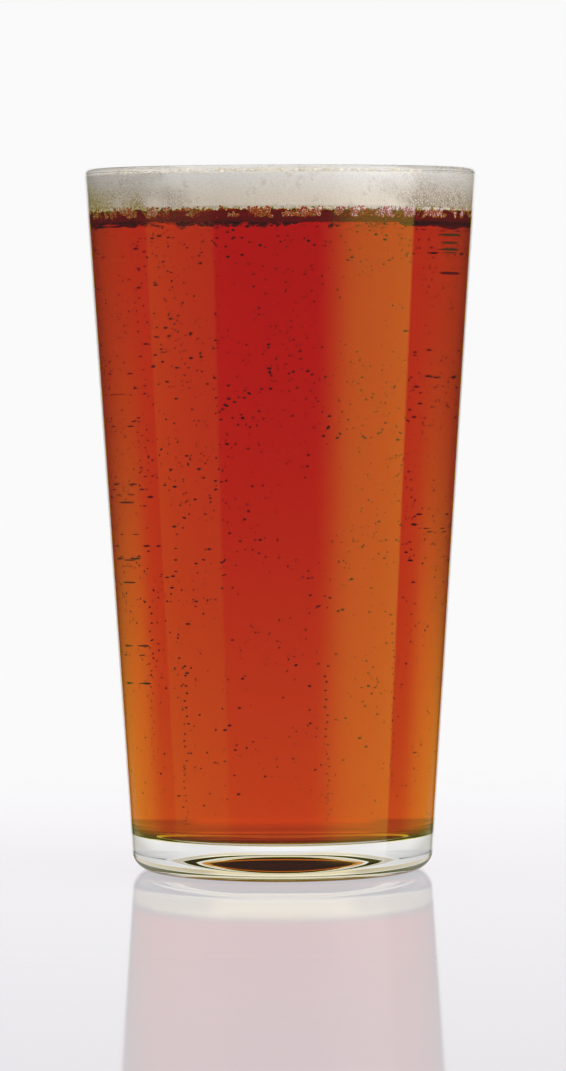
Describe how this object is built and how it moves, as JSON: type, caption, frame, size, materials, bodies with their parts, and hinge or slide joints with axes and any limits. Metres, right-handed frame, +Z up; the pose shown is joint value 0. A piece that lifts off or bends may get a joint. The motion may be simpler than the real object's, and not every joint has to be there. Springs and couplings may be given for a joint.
{
  "type": "pint of ale",
  "caption": "Tapered straight-sided pint glass filled with clear amber ale under a cream foam head.",
  "frame": {"origin": "centre of the foot, on the surface that the glass stands on", "axes": "+Z up along the axis of the glass, from foot to rim; the glass is round, so X and Y are free"},
  "size_m": [0.0848, 0.0848, 0.152],
  "materials": {
    "clear_glass": "polished clear",
    "amber_ale": "clear liquid, amber red",
    "cream_foam": "matt, fine bubbles"
  },
  "bodies": {
    "root": {"glass": "clear_glass", "ale": "amber_ale", "foam_head": "cream_foam"}
  },
  "joints": []
}
